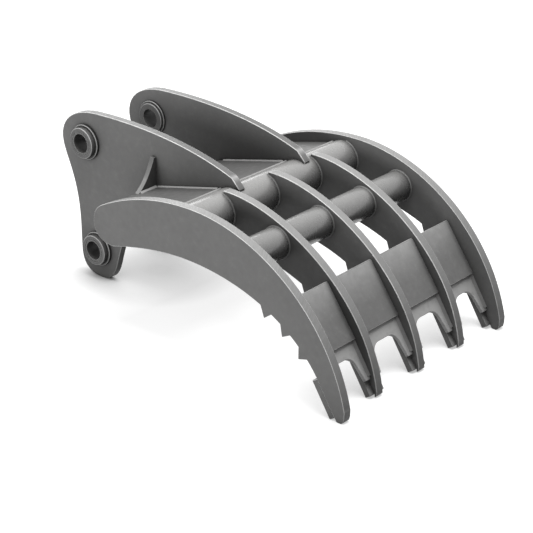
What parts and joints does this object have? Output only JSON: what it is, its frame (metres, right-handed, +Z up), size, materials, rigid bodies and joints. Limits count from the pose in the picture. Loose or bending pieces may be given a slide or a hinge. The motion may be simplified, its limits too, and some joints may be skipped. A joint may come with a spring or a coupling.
{
  "type": "excavator_rake",
  "caption": "Welded steel excavator rake with two pin-on hanger ears, two cross tubes and curved tines with saw-toothed inner edges",
  "frame": {"origin": "centre of the stick pin bore, midway between the ears", "axes": "+X from the ears to the tine tips, +Y to the right side tine, +Z up as the rake stands on its ears and tips"},
  "size_m": [1.719, 0.99, 0.7221],
  "materials": {
    "ear_paint": "satin",
    "bush_paint": "satin",
    "collar_paint": "satin",
    "tine_paint": "satin",
    "tube_paint": "satin",
    "plate_paint": "satin",
    "panel_paint": "satin",
    "tip_bar_paint": "satin",
    "weld_paint": "satin"
  },
  "bodies": {
    "root": {"left_ear": "ear_paint", "right_ear": "ear_paint", "left_link_pin_bush": "bush_paint", "left_stick_pin_bush": "bush_paint", "right_link_pin_bush": "bush_paint", "right_stick_pin_bush": "bush_paint", "left_link_outer_collar": "collar_paint", "left_link_inner_collar": "collar_paint", "left_stick_outer_collar": "collar_paint", "left_stick_inner_collar": "collar_paint", "right_link_outer_collar": "collar_paint", "right_link_inner_collar": "collar_paint", "right_stick_outer_collar": "collar_paint", "right_stick_inner_collar": "collar_paint", "left_side_tine": "tine_paint", "left_inner_tine": "tine_paint", "centre_tine": "tine_paint", "right_inner_tine": "tine_paint", "right_side_tine": "tine_paint", "upper_cross_tube": "tube_paint", "lower_cross_tube": "tube_paint", "top_plate": "plate_paint", "rear_plate": "plate_paint", "left_wing_gusset": "plate_paint", "right_wing_gusset": "plate_paint", "belly_plate_1": "plate_paint", "belly_plate_2": "plate_paint", "belly_plate_3": "plate_paint", "belly_plate_4": "plate_paint", "front_panel_1": "panel_paint", "front_panel_2": "panel_paint", "front_panel_3": "panel_paint", "front_panel_4": "panel_paint", "comb_plate_1": "panel_paint", "comb_plate_2": "panel_paint", "comb_plate_3": "panel_paint", "comb_plate_4": "panel_paint", "tip_bar_1": "tip_bar_paint", "tip_bar_2": "tip_bar_paint", "tip_bar_3": "tip_bar_paint", "tip_bar_4": "tip_bar_paint", "tip_bar_5": "tip_bar_paint", "upper_tube_welds": "weld_paint", "lower_tube_welds": "weld_paint", "ear_welds": "weld_paint", "top_plate_welds": "weld_paint", "comb_welds": "weld_paint"}
  },
  "joints": []
}
